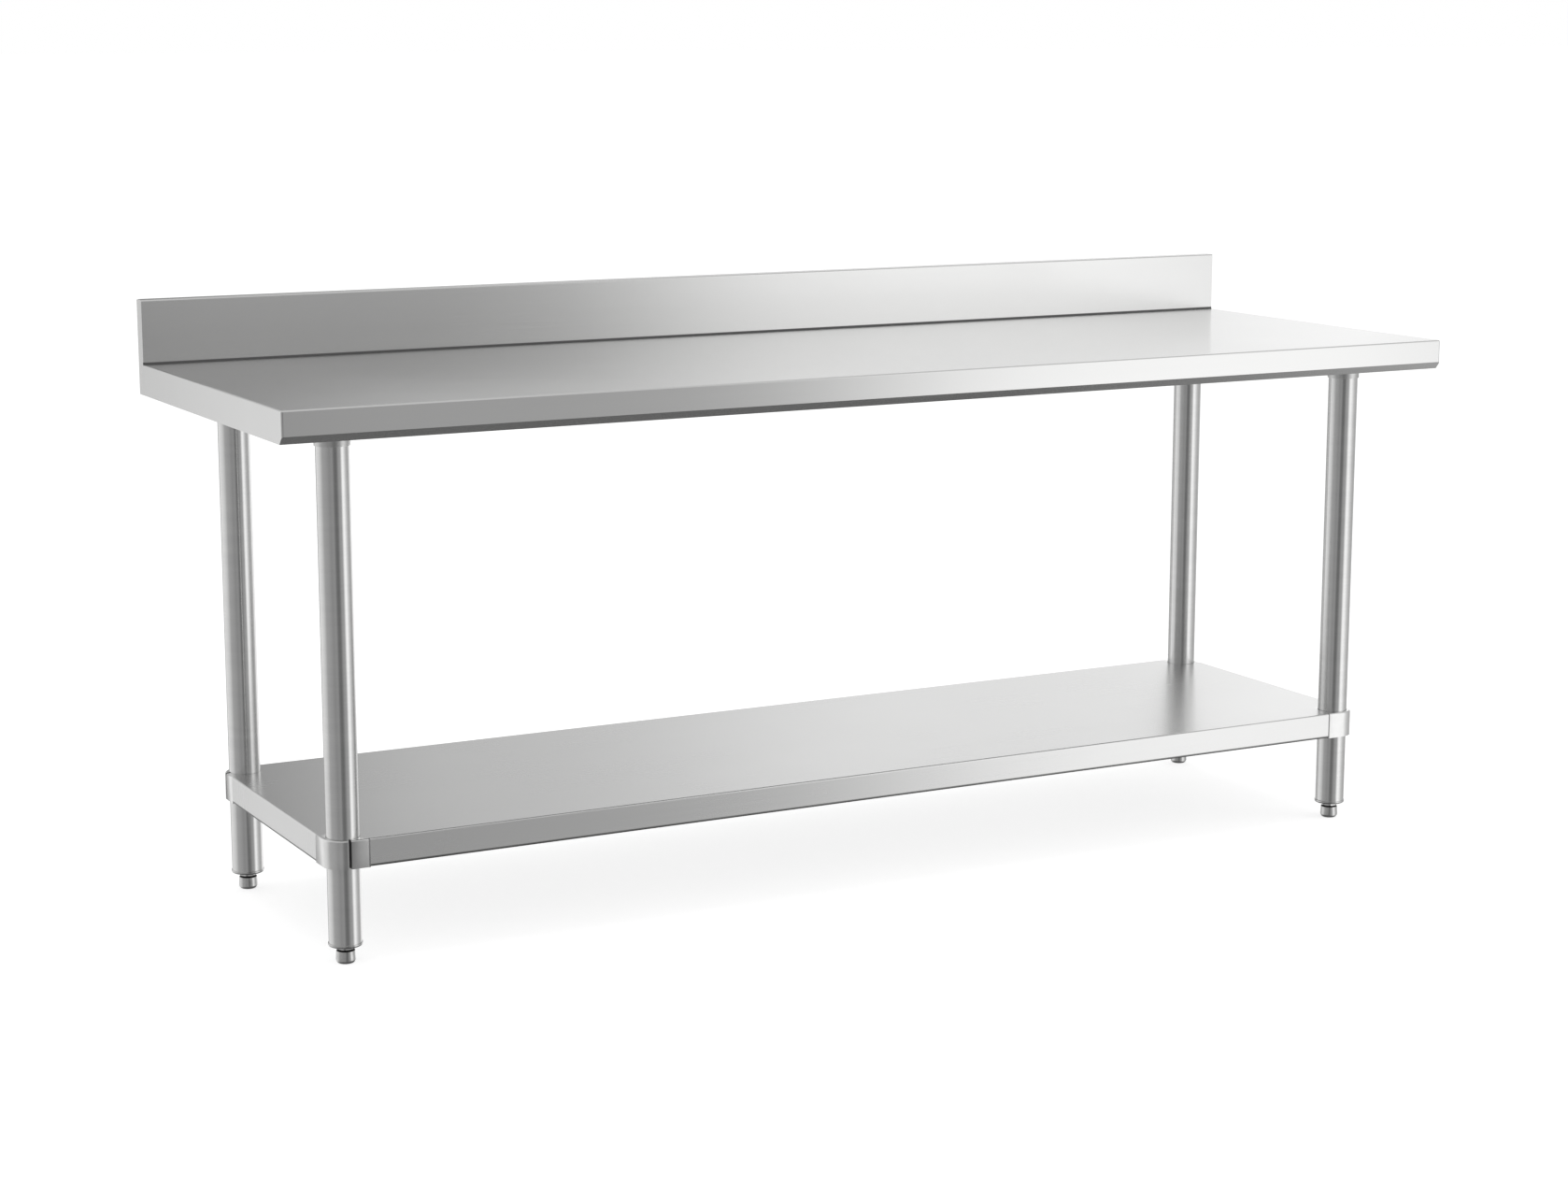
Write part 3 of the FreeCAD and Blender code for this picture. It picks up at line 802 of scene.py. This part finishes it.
# Headings of the set screws in degrees, away from the leg: inward for the sockets, and toward the
# middle of the shelf for the collars
socket_screws = {"front_left": 0, "front_right": 180, "rear_right": 180, "rear_left": 0}
collar_screws = {"front_left": 45, "front_right": 135, "rear_right": 225, "rear_left": 315}
for name, node, body, headings in (
        ("socket_grub_screws", "socket_set_screws", "table_frame", socket_screws),
        ("collar_grub_screws", "collar_set_screws", "shelf_assembly", collar_screws)):
    height = middle_height(node)
    set_screws(name, node, body, [
        screw_place(corner, math.radians(headings[corner]), height) for corner in corners])


# ---------------------------------------------------------------- floor, light and camera

floor_glow = 0.76
air_light = 0.42


def seen_directly(tree):
    """One for what the camera, a mirror or clear glass shows, and nought for other light."""
    light = add(tree, "ShaderNodeLightPath").outputs
    return calc(tree, "MAXIMUM", light["Is Camera Ray"],
                calc(tree, "MAXIMUM", light["Is Glossy Ray"], light["Is Transmission Ray"]))


def stage_floor():
    """Pale floor. It glows a little where it is seen, so that it comes out nearly white."""
    half = 120.0
    around = [(-half, -half, 0), (half, -half, 0), (half, half, 0), (-half, half, 0)]
    mesh = bpy.data.meshes.new("studio_floor")
    mesh.from_pydata(around, [], [(0, 1, 2, 3)])
    floor = put_in_scene("studio_floor", mesh)
    material, tree = new_material("pale_studio_floor")
    mottle = noise(tree, place_on_piece(tree), scale=0.6, detail=2.0)
    pale = blend_tone(tree, mottle, grey(0.80), grey(0.84))
    diffuse = add(tree, "ShaderNodeBsdfDiffuse", {"Color": pale})
    lift = times(tree, seen_directly(tree), floor_glow)
    white = add(tree, "ShaderNodeEmission", {"Color": grey(1.0), "Strength": lift})
    both = add(tree, "ShaderNodeAddShader", {0: diffuse.outputs[0], 1: white.outputs[0]})
    finish_material(tree, both.outputs[0])
    mesh.materials.append(material)
    floor.visible_glossy = False


def studio_air():
    """White air, dimmer where it only lights the table."""
    world = bpy.data.worlds.new("studio_air")
    bpy.context.scene.world = world
    world.use_nodes = True
    tree = world.node_tree
    tree.nodes.clear()
    strength = blend_value(tree, seen_directly(tree), air_light, 1.0)
    air = add(tree, "ShaderNodeBackground", {"Color": grey(1.0), "Strength": strength})
    add(tree, "ShaderNodeOutputWorld", {"Surface": air.outputs[0]})


# Tones of the panels that stand round the table, by heading in degrees: 0 is in front of it, 90 at
# its right end and 180 at the wall.
panel_tones = [
    (-180, 0.60), (-166, 0.62), (-157, 0.46), (-152, 0.58), (-149, 0.88), (-144, 0.98),
    (-138, 0.85), (-118, 0.80), (-106, 0.70), (-98, 0.58), (-90, 0.44), (-80, 0.41), (-62, 0.36),
    (-50, 0.30), (-40, 0.32), (-31, 0.33), (-25, 0.20), (-15, 0.165), (-8, 0.17), (-2, 0.25),
    (4, 0.37), (9, 0.39), (15, 0.39), (20, 0.43), (23.5, 0.56), (26.5, 0.79), (30, 1.02),
    (34, 1.13), (44, 1.16), (50, 0.98), (57, 0.88), (65, 0.66), (76, 0.58), (88, 0.46),
    (112, 0.60), (122, 0.95), (129, 1.18), (134, 1.10), (138, 0.99), (144, 0.96), (149, 0.95),
    (153, 0.88), (157, 0.75), (161, 0.66), (164, 0.64), (168, 0.60), (172, 0.43), (176, 0.29),
    (180, 0.20),
]
brightest_panel = 1.2
ceiling_tone = 0.62
cloth_tone = 0.14
surround_radius = 4.5
surround_middle = 0.6

# Heights are from the surround's middle, as shares of its radius: where the ceiling and the cloth
# begin and are full, and below which the panels lean away from the front. The lean is the turn of
# heading for each radius of depth, in full beyond a distance left or right of the middle.
ceiling_from, ceiling_full = 0.40, 0.75
cloth_from, cloth_full = -0.46, -0.82
lean_below = -0.05
full_lean = math.radians(9)
lean_reach = 0.8


def studio_surround():
    """Ring of panels, a bright ceiling and a dark cloth that show only in the metal."""
    build = bmesh.new()
    bmesh.ops.create_uvsphere(build, u_segments=96, v_segments=48, radius=surround_radius)
    mesh = mesh_of(build, "studio_surround")
    surround = put_in_scene("studio_surround", mesh)
    surround.location = (0.0, 0.0, surround_middle)
    material, tree = new_material("surround_panels")
    x, y, z = parts_of(tree, place_on_piece(tree))
    height = calc(tree, "DIVIDE", z, surround_radius)
    drop = calc(tree, "MINIMUM", calc(tree, "SUBTRACT", height, lean_below), 0.0)
    lean = times(tree, drop, fade(tree, x, -lean_reach, lean_reach, -full_lean, full_lean))
    heading = calc(tree, "ADD", calc(tree, "ARCTAN2", x, times(tree, y, -1.0)), lean)
    turn = fade(tree, heading, -math.pi, math.pi, step="LINEAR")
    panels = add(tree, "ShaderNodeFloatCurve", {"Value": turn})
    line = panels.mapping.curves[0].points
    while len(line) < len(panel_tones):
        line.new(0.5, 0.5)
    for point, (degrees, tone) in zip(line, panel_tones):
        point.location = ((degrees + 180) / 360, tone / brightest_panel)
        point.handle_type = "VECTOR"
    panels.mapping.update()
    panel = times(tree, panels.outputs[0], brightest_panel)
    tone = blend_value(tree, fade(tree, height, ceiling_from, ceiling_full), panel, ceiling_tone)
    tone = blend_value(tree, fade(tree, height, cloth_from, cloth_full), tone, cloth_tone)
    glow = add(tree, "ShaderNodeEmission", {"Color": grey(1.0), "Strength": tone})
    finish_material(tree, glow.outputs[0])
    mesh.materials.append(material)
    surround.visible_camera = False
    surround.visible_diffuse = False
    surround.visible_shadow = False
    surround.visible_transmission = False


def softbox(name, place, target, width, height, brightness):
    """Large soft lamp whose face is as bright as the given share of white."""
    lamp = bpy.data.lights.new(name, "AREA")
    lamp.shape = "RECTANGLE"
    lamp.size = width
    lamp.size_y = height
    lamp.energy = brightness * math.pi * width * height
    holder = put_in_scene(name, lamp)
    holder.location = place
    toward = Vector(target) - Vector(place)
    holder.rotation_euler = toward.to_track_quat("-Z", "Y").to_euler()
    holder.visible_camera = False
    holder.visible_glossy = False


# Camera: place in metres, focal length in millimetres, and turns in degrees
camera_place = (-2.4626, -4.5316, 1.4115)
focal_length = 70.81
camera_dip = 10.55
camera_turn = -27.99


def stand_camera():
    lens = bpy.data.cameras.new("camera")
    lens.sensor_width = 36.0
    lens.lens = focal_length
    lens.clip_end = 300.0
    camera = put_in_scene("camera", lens)
    camera.location = camera_place
    camera.rotation_euler = (math.radians(90 - camera_dip), 0.0, math.radians(camera_turn))
    bpy.context.scene.camera = camera


stage_floor()
studio_air()
studio_surround()
softbox("overhead_softbox", place=(0.0, 0.0, 4.2), target=(0.0, 0.0, 0.8),
        width=4.0, height=2.6, brightness=0.8)
softbox("right_softbox", place=(5.5, -3.8, 2.4), target=(0.4, 0.0, 0.6),
        width=3.2, height=3.6, brightness=0.8)
stand_camera()

bpy.context.scene.view_settings.view_transform = "Standard"

bpy.context.view_layer.update()
